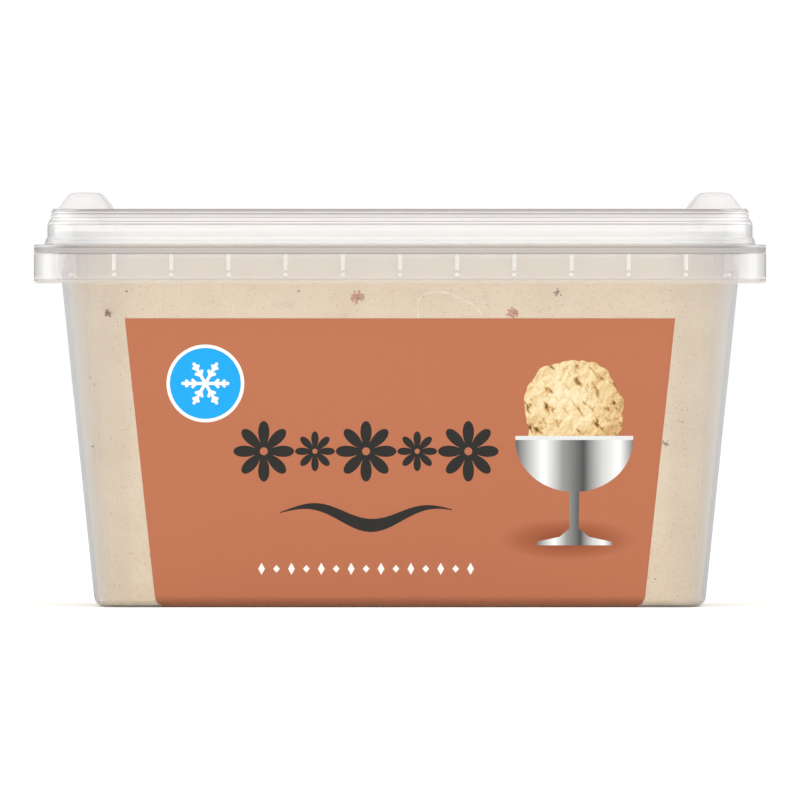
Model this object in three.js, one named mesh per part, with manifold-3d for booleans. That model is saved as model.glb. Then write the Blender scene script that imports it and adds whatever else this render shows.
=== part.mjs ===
// A shut rectangular ice cream tub: clear tapered tub with a ribbed rim skirt, clip-on lid with four stacking
// lugs, a label that runs down the front, under the base and up the back, and the ice cream inside.
// Millimetres, +Z up, long side along X, front towards -Y, origin on the table under the middle of the tub.
import * as THREE from "three";
import { mergeVertices } from "three/addons/utils/BufferGeometryUtils.js";
import Module from "manifold-3d";

const wasm = await Module();
wasm.setup();

// Driving sizes
const skirtLength = 162; // the widest part, along X
const skirtWidth = 108; // along Y
const wallSlope = 0.1017; // outward lean of the walls, mm per mm of height
const flangeTop = 80.1; // the ledge that the lid stands on
const lidTop = 88.1;
const lugTop = 91.7;
const labelTop = 63.9;
const fillLevel = 79.4;

// Tub
const wall = 1.1;
const skirtStandOff = 5.35; // from the wall to the skirt's outside, at the ledge
const skirtThickness = 0.8;
const skirtBottom = 71.6;
const flangeThickness = 1.7;
const baseFillet = 2.5;
const baseCornerRadius = 8;
const footWidth = 2.9; // flat ring that the tub stands on
const baseRecess = 1;
const rimTop = 83;
const rimBead = 0.5;

// Ribs between wall and skirt
const ribThickness = 0.9;
const ribPitch = 12.62;
const longSideRibs = 11;
const shortSideRibs = 5;
const cornerRibAngle = 42; // degrees from the X axis
const ribUnder = 74.2;
const ribFoot = 72.9; // where the rib runs out down the wall
const ribFootDepth = 1.5;

// Lid
const lidWall = 0.8;
const lidClear = 0.3;
const lidStandOff = 10.5; // lid's outer wall beyond the base outline
const panelTop = 84.6;
const panelStep = 0.5;
const lugX = 69.7;
const lugY = 39.2;
const lugBaseRadius = 5.7; // where it leaves the rim
const lugTopRadius = 2.9;

// Label and ice cream
const labelThickness = 0.3;
const labelSink = 0.1; // the label's face lies this far below the tub's
const labelGap = 0.2;
const labelTopHalfWidth = 60.8;
const labelBaseHalfWidth = 54;
const fillClear = 0.3;
const waveHeight = 0.9;

// Worked out from those
const skirtOffset = wallSlope * flangeTop + skirtStandOff; // beyond the base outline
const baseHalfLength = skirtLength / 2 - skirtOffset;
const baseHalfWidth = skirtWidth / 2 - skirtOffset;
const cornerX = baseHalfLength - baseCornerRadius;
const cornerY = baseHalfWidth - baseCornerRadius;
const flangeUnder = flangeTop - flangeThickness;
const wallAngle = Math.atan(wallSlope);
const slantFactor = Math.hypot(1, wallSlope);
const cornerSteps = 8;
const degree = Math.PI / 180;

// Every level of the tub and lid is the base outline grown by an offset: four arcs round the same four centres.
function outline(offset, z, steps = cornerSteps) {
  const radius = baseCornerRadius + offset;
  const points = [];
  for (let corner = 0; corner < 4; corner++) {
    const signX = corner === 0 || corner === 3 ? 1 : -1;
    const signY = corner < 2 ? 1 : -1;
    for (let i = 0; i <= steps; i++) {
      const angle = (corner + i / steps) * (Math.PI / 2);
      points.push([
        signX * cornerX + radius * Math.cos(angle),
        signY * cornerY + radius * Math.sin(angle),
        z,
      ]);
    }
  }
  return points;
}

// A closed skin through rings of equal length, capped at both ends by a fan round a middle point.
function skin(rings, firstZ = rings[0][0][2], lastZ = rings.at(-1)[0][2]) {
  const count = rings[0].length;
  const positions = rings.flat(2);
  const first = rings.length * count;
  positions.push(0, 0, firstZ, 0, 0, lastZ);
  const index = [];
  for (let i = 0; i < rings.length; i++) {
    for (let j = 0; j < count; j++) {
      const next = (j + 1) % count;
      const a = i * count + j;
      const b = i * count + next;
      if (i === 0) index.push(first, b, a);
      if (i === rings.length - 1) index.push(first + 1, a, b);
      else index.push(a, b, b + count, a, b + count, a + count);
    }
  }
  return new wasm.Manifold(
    new wasm.Mesh({
      numProp: 3,
      vertProperties: new Float32Array(positions),
      triVerts: new Uint32Array(index),
    }),
  );
}

const sweep = (profile) =>
  skin(profile.map(([offset, z]) => outline(offset, z)));

function solidOf(geometry) {
  geometry.deleteAttribute("normal");
  geometry.deleteAttribute("uv");
  const merged = mergeVertices(geometry, 1e-4);
  return new wasm.Manifold(
    new wasm.Mesh({
      numProp: 3,
      vertProperties: new Float32Array(merged.attributes.position.array),
      triVerts: new Uint32Array(merged.index.array),
    }),
  );
}

function geometryOf(solid) {
  const mesh = solid.getMesh();
  const positions = new Float32Array(mesh.numVert * 3);
  for (let i = 0; i < mesh.numVert; i++)
    positions.set(mesh.vertProperties.subarray(i * mesh.numProp, i * mesh.numProp + 3), i * 3);
  const geometry = new THREE.BufferGeometry()
    .setAttribute("position", new THREE.BufferAttribute(positions, 3))
    .setIndex(new THREE.BufferAttribute(mesh.triVerts, 1));
  geometry.computeVertexNormals();
  return geometry;
}

function extrude(points, depth) {
  const shape = new THREE.Shape(points.map(([x, y]) => new THREE.Vector2(x, y)));
  return new THREE.ExtrudeGeometry(shape, { depth, bevelEnabled: false });
}

function arc(centreD, centreZ, radius, from, to, steps = 4) {
  return Array.from({ length: steps + 1 }, (_, i) => {
    const angle = from + ((to - from) * i) / steps;
    return [centreD + radius * Math.cos(angle), centreZ + radius * Math.sin(angle)];
  });
}

// Profiles are lists of [offset beyond the base outline, height].
// Outside of the body, from under the base round the foot and up the slanted wall.
function bodyProfile(inset = 0) {
  const filletRadius = baseFillet - inset;
  const filletD = wallSlope * baseFillet - baseFillet * slantFactor;
  const footInner = filletD - footWidth;
  return [
    [footInner - baseRecess + inset * 0.4, baseRecess + inset],
    [footInner + inset * 0.4, inset],
    ...arc(filletD, baseFillet, filletRadius, -Math.PI / 2, -wallAngle),
  ];
}

const wallOffset = (z, inset = 0) => wallSlope * z - inset * slantFactor;

function makeTub() {
  const under = 0.7; // fillet below the ledge
  const skirtInner = skirtOffset - skirtThickness;
  const rimInner = wallOffset(rimTop, wall);
  const floorZ = baseRecess + wall;
  const innerFillet = 1.6;
  const innerFilletZ = floorZ + innerFillet;
  const innerFilletD = wallOffset(innerFilletZ, wall) - innerFillet * slantFactor;
  const rimOuter = wallOffset(flangeTop) + 0.2;
  return sweep([
    ...bodyProfile(),
    [wallOffset(flangeUnder - under), flangeUnder - under],
    [wallOffset(flangeUnder) + under, flangeUnder],
    [skirtInner - 0.4, flangeUnder],
    [skirtInner, flangeUnder - 0.4],
    [skirtInner, skirtBottom + 0.3],
    [skirtInner + 0.25, skirtBottom],
    [skirtOffset - 0.35, skirtBottom],
    [skirtOffset, skirtBottom + 0.5],
    [skirtOffset, flangeTop - 0.4],
    [skirtOffset - 0.4, flangeTop],
    [rimOuter + 0.3, flangeTop],
    [rimOuter, flangeTop + 0.3],
    [rimOuter, rimTop - 2],
    [rimOuter + rimBead, rimTop - 1.4],
    [rimOuter + rimBead, rimTop - 0.5],
    [rimOuter, rimTop],
    [rimInner + 0.3, rimTop],
    [rimInner, rimTop - 0.4],
    ...arc(innerFilletD, innerFilletZ, innerFillet, -wallAngle, -Math.PI / 2, 3),
  ]);
}

// How far the outline has curved away from its straight side, at a place along that side.
function curvedAway(along, straight, radius) {
  const beyond = Math.max(0, Math.abs(along) - straight);
  return radius - Math.sqrt(radius * radius - beyond * beyond);
}

// One rib in the gap between wall and skirt. It stands on the line that leaves (x, y) at the given angle.
function makeRib(x, y, angle, wallAt, skirtAt) {
  const inside = wallAt + wallOffset(flangeUnder) - 0.65 * wall;
  const outside = skirtAt + skirtOffset - skirtThickness / 2;
  const wallFace = wallAt + wallOffset(ribFoot);
  const top = flangeUnder + flangeThickness / 2;
  const blank = extrude(
    [
      [inside, top],
      [inside, ribFoot],
      [wallFace + 0.2, ribFoot],
      [wallFace + ribFootDepth, ribUnder],
      [outside, ribUnder],
      [outside, top],
    ],
    ribThickness,
  );
  blank.translate(0, 0, -ribThickness / 2);
  blank.rotateX(Math.PI / 2);
  blank.rotateZ(angle);
  blank.translate(x, y, 0);
  return solidOf(blank);
}

function makeRibs() {
  const ribs = [];
  const wallRadius = baseCornerRadius + wallOffset(ribFoot);
  const skirtRadius = baseCornerRadius + skirtOffset;
  for (const side of [-1, 1]) {
    for (let i = 0; i < longSideRibs; i++) {
      const x = (i - (longSideRibs - 1) / 2) * ribPitch;
      const wallAt = baseHalfWidth - curvedAway(x, cornerX, wallRadius);
      const skirtAt = baseHalfWidth - curvedAway(x, cornerX, skirtRadius);
      ribs.push(makeRib(x, 0, (side * Math.PI) / 2, wallAt, skirtAt));
    }
    for (let i = 0; i < shortSideRibs; i++) {
      const y = (i - (shortSideRibs - 1) / 2) * ribPitch;
      ribs.push(makeRib(0, y, side > 0 ? 0 : Math.PI, baseHalfLength, baseHalfLength));
    }
    for (const end of [-1, 1]) {
      const lean = cornerRibAngle * degree;
      const angle = end > 0 ? side * lean : side * (Math.PI - lean);
      ribs.push(makeRib(end * cornerX, side * cornerY, angle, baseCornerRadius, baseCornerRadius));
    }
  }
  return ribs;
}

// What lies between two depths below the body's skin, for the width of the label: front, base and back in one.
function makeBand(near, far, grow = 0) {
  const outer = bodyProfile(near);
  outer.push([wallOffset(labelTop + grow, near), labelTop + grow]);
  const inner = bodyProfile(far);
  inner.push([wallOffset(labelTop + grow, far), labelTop + grow]);
  const front = (profile) => profile.map(([d, z]) => [-baseHalfWidth - d, z]);
  const back = (profile) => profile.map(([d, z]) => [baseHalfWidth + d, z]);
  const reach = skirtLength / 2;
  const section = [
    ...front(outer).reverse(),
    ...back(outer),
    ...back(inner).reverse(),
    ...front(inner),
  ];
  const band = extrude(section, 2 * reach);
  band.translate(0, 0, -reach);
  band.applyMatrix4(
    new THREE.Matrix4().makeBasis(
      new THREE.Vector3(0, 1, 0),
      new THREE.Vector3(0, 0, 1),
      new THREE.Vector3(1, 0, 0),
    ),
  );
  const below = -2;
  const above = labelTop + grow + 1;
  const halfWidth = (z) => labelBaseHalfWidth + ((labelTopHalfWidth - labelBaseHalfWidth) * z) / labelTop + grow;
  const clip = extrude(
    [
      [-halfWidth(below), below],
      [halfWidth(below), below],
      [halfWidth(above), above],
      [-halfWidth(above), above],
    ],
    2 * skirtWidth,
  );
  clip.translate(0, 0, -skirtWidth);
  clip.rotateX(Math.PI / 2);
  return solidOf(band).intersect(solidOf(clip));
}

// A round stacking lug that rises from the lid's panel and stands above the rim with a domed top.
function makeLug(x, y, inset = 0) {
  const foot = panelTop - lidWall - 0.4 - inset;
  const rise = lugTop - lidTop;
  const reach = (share) => lugTopRadius + (lugBaseRadius - lugTopRadius) * share - inset;
  const lathe = [
    [0, foot],
    [reach(1.15), foot],
    [reach(1), lidTop],
    [reach(0.88), lidTop + 0.28 * rise - inset * 0.3],
    [reach(0.55), lidTop + 0.64 * rise - inset * 0.7],
    [reach(0.1), lidTop + 0.92 * rise - inset],
    [reach(-0.35), lidTop + 0.99 * rise - inset],
    [0, lugTop - inset],
  ];
  const dome = new THREE.LatheGeometry(
    lathe.map(([r, z]) => new THREE.Vector2(r, z)),
    20,
  );
  dome.rotateX(Math.PI / 2);
  dome.translate(x, y, 0);
  return solidOf(dome);
}

function makeLid() {
  const foot = flangeTop + lidClear;
  const out = lidStandOff;
  const panelUnder = panelTop - lidWall;
  let lid = sweep([
    [-4 - panelStep, panelUnder - panelStep],
    [-4, panelUnder],
    [out - 5.5, panelUnder],
    [out - 4.9, panelUnder + 0.5],
    [out - 4.2, lidTop - lidWall - 0.4],
    [out - 3.8, lidTop - lidWall],
    [out - 2, lidTop - lidWall],
    [out - 1.7, lidTop - 2.1],
    [out - lidWall - 0.05, lidTop - 3.4],
    [out - lidWall, foot + 1.6],
    [out - 0.2, foot + 0.7],
    [out - 0.2, foot],
    [out + 0.6, foot],
    [out + 0.65, foot + 0.7],
    [out + 0.35, foot + 1.2],
    [out, foot + 1.6],
    [out - 0.05, lidTop - 3.2],
    [out - 0.3, lidTop - 2.6],
    [out - 0.85, lidTop - 2.1],
    [out - 0.95, lidTop - 1],
    [out - 1.2, lidTop - 0.35],
    [out - 1.75, lidTop],
    [out - 4.1, lidTop],
    [out - 4.7, lidTop - 0.4],
    [out - 5.5, panelTop + 0.5],
    [out - 6.1, panelTop],
    [-4, panelTop],
    [-4 - panelStep, panelTop - panelStep],
  ]);
  const corners = [
    [lugX, lugY],
    [-lugX, lugY],
    [-lugX, -lugY],
    [lugX, -lugY],
  ];
  for (const [x, y] of corners) lid = lid.add(makeLug(x, y));
  for (const [x, y] of corners) lid = lid.subtract(makeLug(x, y, lidWall));
  return lid;
}

// The frozen block follows the tub's inside. Its top is the soft swirl left by the filler.
function makeIceCream() {
  const gap = wall + fillClear;
  const floorZ = baseRecess + gap;
  const fillet = 2;
  const filletZ = floorZ + fillet;
  const filletD = wallOffset(filletZ, gap) - fillet * slantFactor;
  const rings = arc(filletD, filletZ, fillet, -Math.PI / 2, -wallAngle, 3).map(
    ([offset, z]) => outline(offset, z),
  );
  const edge = wallOffset(fillLevel, gap);
  rings.push(outline(wallOffset(fillLevel - 1.2, gap), fillLevel - 1.2));
  const shrinkSteps = [0.5, 3, 7, 12, 18, 24, 30, 36, 42];
  for (const shrink of shrinkSteps) {
    const level = outline(edge, fillLevel).map(([x, y]) => {
      const scaleX = 1 - shrink / (baseHalfLength + edge);
      const scaleY = 1 - shrink / (baseHalfWidth + edge);
      const px = x * scaleX;
      const py = y * scaleY;
      return [px, py, surfaceHeight(px, py, shrink)];
    });
    rings.push(level);
  }
  return skin(rings, floorZ, surfaceHeight(0, 0, baseHalfWidth));
}

function surfaceHeight(x, y, inward) {
  const settle = Math.min(inward / 8, 1);
  const swirl = Math.sin(x / 9 + 1.6 * Math.sin(y / 13)) * Math.cos(y / 11 + 0.6 * Math.sin(x / 21));
  return fillLevel - 0.7 + settle * (0.6 + waveHeight * swirl);
}

const plastic = (colour, roughness) =>
  new THREE.MeshStandardMaterial({
    color: colour,
    roughness,
    metalness: 0,
    transparent: true,
    opacity: 0.4,
  });
const finishes = {
  tub: plastic(0xe4e4e2, 0.25),
  lid: plastic(0xf0f0f0, 0.15),
  label: new THREE.MeshStandardMaterial({ color: 0xc57a5a, roughness: 0.45, metalness: 0 }),
  ice_cream: new THREE.MeshStandardMaterial({ color: 0xe3d0b8, roughness: 0.7, metalness: 0 }),
};

let tub = makeTub();
for (const rib of makeRibs()) tub = tub.add(rib);
const recess = labelSink + labelThickness + labelGap;
tub = tub.subtract(makeBand(-1, recess, labelGap));
const solids = {
  tub,
  lid: makeLid(),
  label: makeBand(labelSink, labelSink + labelThickness),
  ice_cream: makeIceCream(),
};

const packed = new THREE.Group();
for (const [name, solid] of Object.entries(solids)) {
  const mesh = new THREE.Mesh(geometryOf(solid), finishes[name]);
  mesh.name = name;
  packed.add(mesh);
}

export default packed;
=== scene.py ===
import random
from functools import partial
from math import atan2, copysign, cos, hypot, pi, radians, sin, sqrt, tan, tau

import bmesh
import bpy
from mathutils import Matrix, Vector, noise


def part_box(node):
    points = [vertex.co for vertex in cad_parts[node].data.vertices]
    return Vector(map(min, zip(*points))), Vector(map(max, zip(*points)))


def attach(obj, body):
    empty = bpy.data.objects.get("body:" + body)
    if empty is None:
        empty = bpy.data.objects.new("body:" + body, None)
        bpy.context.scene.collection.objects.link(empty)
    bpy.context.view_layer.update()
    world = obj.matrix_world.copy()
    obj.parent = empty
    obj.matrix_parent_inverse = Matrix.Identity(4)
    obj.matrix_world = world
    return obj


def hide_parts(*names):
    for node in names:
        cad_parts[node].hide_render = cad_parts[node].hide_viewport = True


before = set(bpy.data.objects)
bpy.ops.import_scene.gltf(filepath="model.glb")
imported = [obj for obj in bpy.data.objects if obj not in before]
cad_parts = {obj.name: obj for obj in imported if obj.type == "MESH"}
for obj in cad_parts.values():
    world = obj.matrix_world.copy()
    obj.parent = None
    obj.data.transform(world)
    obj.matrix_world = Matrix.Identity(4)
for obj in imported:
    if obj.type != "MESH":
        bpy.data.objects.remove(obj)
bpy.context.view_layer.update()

mm = 0.001
scene = bpy.context.scene
print("frame loaded:", ", ".join(sorted(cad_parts)))


# Small helpers for meshes and materials

def linearColour(hexCode):
    channels = [int(hexCode[i:i + 2], 16) / 255 for i in (1, 3, 5)]
    return [c / 12.92 if c <= 0.04045 else ((c + 0.055) / 1.055) ** 2.4 for c in channels] + [1.0]


def perMetre(sizeInMm):
    # texture scale that makes one cell or wave of a pattern this long
    return 1 / (sizeInMm * mm)


def addNode(material, kind, inputs=None):
    # inputs hold node options, then values, nodes or sockets to link from, and a ramp's colour stops
    node = material.node_tree.nodes.new("ShaderNode" + kind)
    for key, value in (inputs or {}).items():
        if key == "stops":
            while len(node.color_ramp.elements) < len(value):
                node.color_ramp.elements.new(1.0)
            for element, (position, hexCode) in zip(node.color_ramp.elements, value.items()):
                element.position = position
                element.color = linearColour(hexCode)
        elif isinstance(value, bpy.types.Node):
            material.node_tree.links.new(value.outputs[0], node.inputs[key])
        elif isinstance(value, bpy.types.NodeSocket):
            material.node_tree.links.new(value, node.inputs[key])
        elif isinstance(key, str) and hasattr(node, key):
            setattr(node, key, value)
        else:
            node.inputs[key].default_value = value
    return node


def newMaterial(name):
    # the material, still empty, and addNode for it
    material = bpy.data.materials.new(name)
    material.use_nodes = True
    material.node_tree.nodes.clear()
    return material, partial(addNode, material)


def finishSurface(material, shader):
    addNode(material, "OutputMaterial", {"Surface": shader})
    return material


def addObject(name, data):
    thing = bpy.data.objects.new(name, data)
    scene.collection.objects.link(thing)
    return thing


def meshObject(name, bm, scale=1.0):
    mesh = bpy.data.meshes.new(name)
    bm.to_mesh(mesh)
    bm.free()
    mesh.transform(Matrix.Scale(scale, 4))
    return addObject(name, mesh)


def takeBmesh(thing):
    bm = bmesh.new()
    bm.from_mesh(thing.data)
    bpy.data.objects.remove(thing)
    return bm


def addPiece(name, bm, materials, slot, sharpAngle=38):
    # bmesh in millimetres becomes a smooth-shaded piece in metres on the tub's body
    bmesh.ops.recalc_face_normals(bm, faces=bm.faces)
    for face in bm.faces:
        face.smooth = True
    for edge in bm.edges:
        edge.smooth = len(edge.link_faces) == 2 and edge.calc_face_angle() < radians(sharpAngle)
    piece = meshObject(name, bm, mm)
    for material in materials:
        piece.data.materials.append(material)
    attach(piece, "root")
    piece.visible_shadow = slot == "ice_cream"  # clear walls let the light in
    piece.visible_diffuse = slot != "label"     # no dark seam on the ice cream behind the film's edge
    return piece


# Sizes of the tub, in millimetres. Every level is the base outline grown by an offset.
tubForm = {
    "wallSlope": 0.1017,        # outward lean, mm per mm of height
    "wall": 1.1,
    "baseCornerRadius": 8.0,
    "baseFillet": 2.5,
    "baseRecess": 1.0,
    "footWidth": 2.9,
    "skirtStandOff": 5.35,
    "skirtThickness": 0.8,
    "skirtDrop": 8.5,           # from the ledge to the skirt's lower edge
    "skirtLipHeight": 0.9,
    "flangeThickness": 1.7,
    "rimBead": 0.5,
    "cornerSteps": 22,
}
lidLow, lidHigh = (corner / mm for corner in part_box("lid"))
tubHigh, labelHigh, iceHigh = (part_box(node)[1] / mm for node in ("tub", "label", "ice_cream"))
flangeTop = lidLow.z - 0.3
rimTop = tubHigh.z
flangeUnder = flangeTop - tubForm["flangeThickness"]
skirtBottom = flangeTop - tubForm["skirtDrop"]
lipTop = skirtBottom + tubForm["skirtLipHeight"]
skirtOffset = tubForm["wallSlope"] * flangeTop + tubForm["skirtStandOff"]
baseHalfLength = tubHigh.x - skirtOffset
baseHalfWidth = tubHigh.y - skirtOffset
cornerX = baseHalfLength - tubForm["baseCornerRadius"]
cornerY = baseHalfWidth - tubForm["baseCornerRadius"]
slantFactor = hypot(1, tubForm["wallSlope"])
middleOffset = 0.5 - tubForm["baseCornerRadius"]  # shrinks the outline to a short strip in the middle


def wallOffset(z, inset=0.0):
    return tubForm["wallSlope"] * z - inset * slantFactor


footInner = wallOffset(tubForm["baseFillet"]) - tubForm["baseFillet"] * slantFactor - tubForm["footWidth"]


def outline(offset):
    # four arcs round the same four corner centres
    steps = tubForm["cornerSteps"]
    radius = tubForm["baseCornerRadius"] + offset
    points = []
    for corner, (signX, signY) in enumerate([(1, 1), (-1, 1), (-1, -1), (1, -1)]):
        for i in range(steps + 1):
            angle = (corner + i / steps) * pi / 2
            points.append((signX * cornerX + radius * cos(angle),
                           signY * cornerY + radius * sin(angle)))
    return points


def outwardReach(point):
    # how far a point lies outside the base outline
    x, y = abs(point.x) - cornerX, abs(point.y) - cornerY
    distance = hypot(x, y) if x > 0 and y > 0 else max(x, y)
    return distance - tubForm["baseCornerRadius"]


def roundCorners(corners, steps=4):
    # each corner is (offset, height, radius) and turns into an arc; the path is open
    path = []
    for i, (offset, height, radius) in enumerate(corners):
        here = Vector((offset, height))
        if radius == 0 or i in (0, len(corners) - 1):
            path.append(here)
            continue
        before = Vector(corners[i - 1][:2]) - here
        after = Vector(corners[i + 1][:2]) - here
        half = before.angle(after) / 2
        reach = min(radius / tan(half), 0.48 * before.length, 0.48 * after.length)
        centre = here + (before.normalized() + after.normalized()).normalized() * (reach / cos(half))
        start = here + before.normalized() * reach - centre
        end = here + after.normalized() * reach - centre
        sweep = start.angle(end)
        for k in range(steps + 1):
            t = k / steps
            path.append(centre + (start * sin((1 - t) * sweep) + end * sin(t * sweep)) / sin(sweep))
    return path


def loftRings(bm, rings, capEnds=True):
    # joins rings of equal length; rings are lists of (x, y, z)
    made = [[bm.verts.new(point) for point in ring] for ring in rings]
    count = len(made[0])
    for lower, upper in zip(made, made[1:]):
        for j in range(count):
            k = (j + 1) % count
            bm.faces.new((lower[j], lower[k], upper[k], upper[j]))
    if capEnds:
        bm.faces.new(made[0])
        bm.faces.new(made[-1])
    return made


def sweepProfile(path):
    bm = bmesh.new()
    loftRings(bm, [[(x, y, z) for x, y in outline(offset)] for offset, z in path])
    return bm


def combine(target, other, operation):
    # one boolean, applied, with the helper object removed
    modifier = target.modifiers.new("combine", "BOOLEAN")
    modifier.operation = operation
    modifier.solver = "MANIFOLD"
    modifier.object = other
    evaluated = target.evaluated_get(bpy.context.evaluated_depsgraph_get())
    made = bpy.data.meshes.new_from_object(evaluated)
    target.modifiers.clear()
    target.data = made
    bpy.data.objects.remove(other)


def looseObject(name, bm):
    bmesh.ops.recalc_face_normals(bm, faces=bm.faces)
    return meshObject(name, bm)


# Injection-moulded clear polypropylene: see-through but slightly milky, and greyer and whiter
# where the eye looks along the wall. A soft shine lies over it, with the faint waves of a mould.
def clearPolypropylene(changes):
    look = {**plainPlastic, **changes}
    material, add = newMaterial(look["name"])
    facing = add("LayerWeight", {"Blend": 0.5}).outputs["Facing"]
    along = add("Math", {"operation": "POWER", 0: facing, 1: look["edgePower"]})
    milk = add("Math", {
        "operation": "MULTIPLY_ADD", "use_clamp": True, 0: along, 1: look["edgeMilk"], 2: look["milk"]})
    steep = add("Math", {"operation": "POWER", 0: facing, 1: 5.0})
    shine = add("Math", {
        "operation": "MULTIPLY_ADD", "use_clamp": True, 0: steep, 1: look["gleam"], 2: look["shine"]})
    place = add("TexCoord").outputs["Object"]
    waves = add("TexNoise", {"Scale": perMetre(look["waveLength"]), "Detail": 1.0, "Vector": place})
    bump = add("Bump", {"Strength": look["waves"], "Distance": 0.2 * mm, "Height": waves})
    tone = add("ValToRGB", {"Fac": facing, "stops": look["tones"]})
    clear = add("BsdfTransparent", {"Color": linearColour(look["clearTint"])})
    milky = add("BsdfPrincipled", {
        "Roughness": 0.5, "IOR": 1.49, "Specular IOR Level": 0.0, "Base Color": tone})
    body = add("MixShader", {"Fac": milk, 1: clear, 2: milky})
    gloss = add("BsdfGlossy", {"Roughness": look["roughness"], "Normal": bump})
    whole = add("MixShader", {"Fac": shine, 1: body, 2: gloss})
    return finishSurface(material, whole)


# what most of it shares: more milk and shine towards the edge of sight, waves in millimetres
plainPlastic = {
    "milk": 0.22, "edgeMilk": 0.5, "edgePower": 1.0, "shine": 0.04, "gleam": 0.95, "roughness": 0.2,
    "waves": 0.0, "waveLength": 14, "clearTint": "#fdfdfd",
}
# what each part changes; its tones run from face-on to edge-on
plasticLooks = {
    "cornerWall": {
        "name": "clear_polypropylene_wall_corner", "edgeMilk": 1.1, "edgePower": 1.25, "gleam": 0.45,
        "roughness": 0.16, "waves": 0.02, "clearTint": "#fcfcfb",
        "tones": {0.0: "#d2d2d1", 0.3: "#b6b6b6", 0.5: "#bcbdbe", 0.75: "#b0b1b2", 1.0: "#9e9e9e"}},
    "flatWall": {
        "name": "clear_polypropylene_wall", "edgeMilk": 0.75, "edgePower": 1.9, "gleam": 0.45,
        "roughness": 0.16, "waves": 0.02, "clearTint": "#fcfcfb",
        "tones": {0.0: "#d2d2d1", 0.3: "#cbc8c3", 0.5: "#ccc6bd", 0.75: "#c4beb5", 1.0: "#a9a6a2"}},
    "skirt": {
        "name": "clear_polypropylene_skirt", "shine": 0.045, "roughness": 0.12, "waves": 0.02,
        "tones": {0.0: "#e1dfde", 0.2: "#cdcac8", 0.37: "#d6d4d3", 0.46: "#eae9e8", 0.8: "#e8e7e6",
                  1.0: "#a9a8a7"}},
    "lip": {
        "name": "clear_polypropylene_skirt_lip", "milk": 0.26, "edgeMilk": 0.2, "shine": 0.02,
        "clearTint": "#fdfbf8", "tones": {0.0: "#d9d4cf", 0.6: "#cdc8c3", 1.0: "#bdb9b5"}},
    "foot": {
        "name": "clear_polypropylene_foot", "milk": 0.24, "edgeMilk": 0.4, "shine": 0.02,
        "clearTint": "#fbfaf8", "tones": {0.0: "#c4c2bf", 0.5: "#b4b2af", 1.0: "#a09e9c"}},
    # the thick ledge is milkier plastic, and its grey tones are painted shade
    "ledge": {
        "name": "clear_polypropylene_thick_ledge_with_painted_shade", "milk": 0.75, "edgeMilk": 0.2, "shine": 0.03,
        "roughness": 0.25, "clearTint": "#eeeceb",
        "tones": {0.0: "#b9b6b4", 0.3: "#aeabaa", 1.0: "#8d8a89"}},
    # painted shade: the plastic in the fine grooves gets dark grey tones for the shade that falls in them
    "groove": {
        "name": "polypropylene_painted_shade_in_a_fine_groove", "milk": 0.75, "edgeMilk": -0.35, "clearTint": "#dcdad8",
        "tones": {0.0: "#a8a2a0", 0.36: "#8b8583", 0.5: "#d4d2d1", 1.0: "#f2f1f1"}},
    # painted shade, lighter: the plastic in the shallow grooves gets grey tones for the shade in them
    "softGroove": {
        "name": "polypropylene_painted_shade_in_a_shallow_groove", "milk": 0.55, "edgeMilk": -0.25,
        "clearTint": "#efecea",
        "tones": {0.0: "#c3bfbd", 0.36: "#bdb9b7", 0.5: "#e2e0df", 1.0: "#f2f1f1"}},
    "rib": {
        "name": "clear_polypropylene_rib_on_edge", "milk": 0.86, "edgeMilk": 0.14, "clearTint": "#fdfcfa",
        "tones": {0.0: "#fff9f2", 0.5: "#fdf6ef", 1.0: "#a5a09b"}},
    "ribSide": {
        "name": "clear_polypropylene_rib_side", "milk": 0.42, "edgeMilk": 0.3, "clearTint": "#fdfcfa",
        "tones": {0.0: "#dddad6", 0.4: "#dfdcd8", 1.0: "#a5a09b"}},
    "lid": {
        "name": "gloss_polypropylene_lid", "milk": 0.36, "edgePower": 1.6, "shine": 0.05,
        "roughness": 0.1, "waves": 0.02, "waveLength": 18, "clearTint": "#ffffff",
        "tones": {0.0: "#fbfafa", 0.1: "#f9f8f8", 0.25: "#e9e8e8", 0.45: "#f2f1f1", 1.0: "#cccaca"}},
    "lidRidge": {
        "name": "gloss_polypropylene_lid_ridges", "milk": 0.55, "edgeMilk": 0.35, "edgePower": 0.8,
        "shine": 0.05, "roughness": 0.1, "waveLength": 18, "clearTint": "#f4f2f2",
        "tones": {0.0: "#d3d0cf", 0.3: "#dad8d7", 0.5: "#f6f5f5", 1.0: "#e4e2e2"}},
    "lidInside": {
        "name": "polypropylene_lid_inside", "milk": 0.18, "edgeMilk": 0.0, "shine": 0.0, "waveLength": 18,
        "clearTint": "#ffffff", "tones": {0.0: "#f8f7f7", 1.0: "#ececec"}},
    "lidPanel": {
        "name": "gloss_polypropylene_lid_panel", "milk": 0.12, "edgeMilk": 0.2, "edgePower": 2.0,
        "gleam": 0.3, "roughness": 0.12, "waves": 0.02, "waveLength": 18,
        "tones": {0.0: "#cfcdcc", 0.6: "#dcdada", 1.0: "#d2d0d0"}},
    "lug": {
        "name": "polypropylene_stacking_lug", "milk": 0.42, "edgePower": 1.3,
        "tones": {0.0: "#e6e4e4", 0.4: "#e8e6e6", 1.0: "#e0dede"}},
}
plastics = {part: clearPolypropylene(look) for part, look in plasticLooks.items()}
print("plastics mixed")


# Tub: foot ring, slanted wall, ledge with a hanging skirt, and the rim inside the lid
def bodyCorners(inset=0.0):
    recess = tubForm["baseRecess"]
    meet = wallOffset(inset, inset)  # where the wall line would reach the foot
    return [(footInner - recess + 0.4 * inset, recess + inset, 0), (footInner + 0.4 * inset, inset, 0.3),
            (meet, inset, tubForm["baseFillet"] - inset)]


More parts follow.
